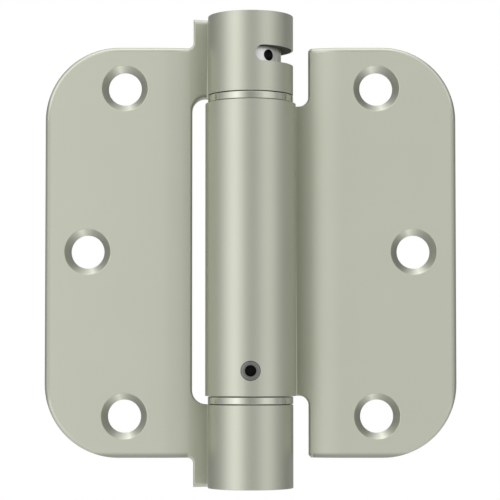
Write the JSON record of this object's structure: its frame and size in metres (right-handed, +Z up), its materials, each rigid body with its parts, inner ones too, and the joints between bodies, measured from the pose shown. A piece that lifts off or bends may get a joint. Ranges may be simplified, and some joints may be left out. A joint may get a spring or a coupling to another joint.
{
  "type": "spring loaded door hinge",
  "caption": "Self-closing butt hinge with rounded leaf corners, a barrel that hides a torsion spring, and a slotted top knuckle for setting its tension.",
  "frame": {"origin": "on the pin axis at half the height of the leaves and of the barrel", "axes": "+Z up the pin axis, X along the open leaves with the door leaf towards +X, and the countersunk faces look towards -Y"},
  "size_m": [0.0888, 0.0196, 0.1016],
  "materials": {
    "satin_nickel": "satin nickel plate with a warm grey cast",
    "polished_nickel": "polished nickel plate",
    "bright_zinc": "bright zinc plate, turned",
    "spring_steel": "oiled drawn spring wire",
    "plain_steel": "turned steel",
    "dark_steel": "blackened spring steel",
    "nylon": "natural nylon"
  },
  "bodies": {
    "frame": {"frame_leaf": "satin_nickel", "upper_bearing_washer": "polished_nickel", "lower_bearing_washer": "polished_nickel", "journal_sleeve": "nylon", "bottom_cap": "satin_nickel"},
    "door": {"door_leaf": "satin_nickel", "anchor_plug": "plain_steel", "anchor_roll_pin": "dark_steel", "spring_arbor": "plain_steel", "torsion_spring": "spring_steel", "upper_barrel_sleeve": "nylon", "lower_barrel_sleeve": "nylon"},
    "adjuster": {"tension_adjuster": "bright_zinc"}
  },
  "joints": [
    {"name": "leaf_swing", "type": "hinge", "parent": "frame", "child": "door", "pos_m": [0, 0, 0], "axis": [0, 0, -1], "range_deg": [-130, 180]},
    {"name": "adjuster_turn", "type": "hinge", "parent": "door", "child": "adjuster", "pos_m": [0, 0, 0], "axis": [0, 0, -1], "range_deg": [0, 360], "stiffness_Nm_per_rad": 0.78, "deforming": ["torsion_spring"]}
  ]
}
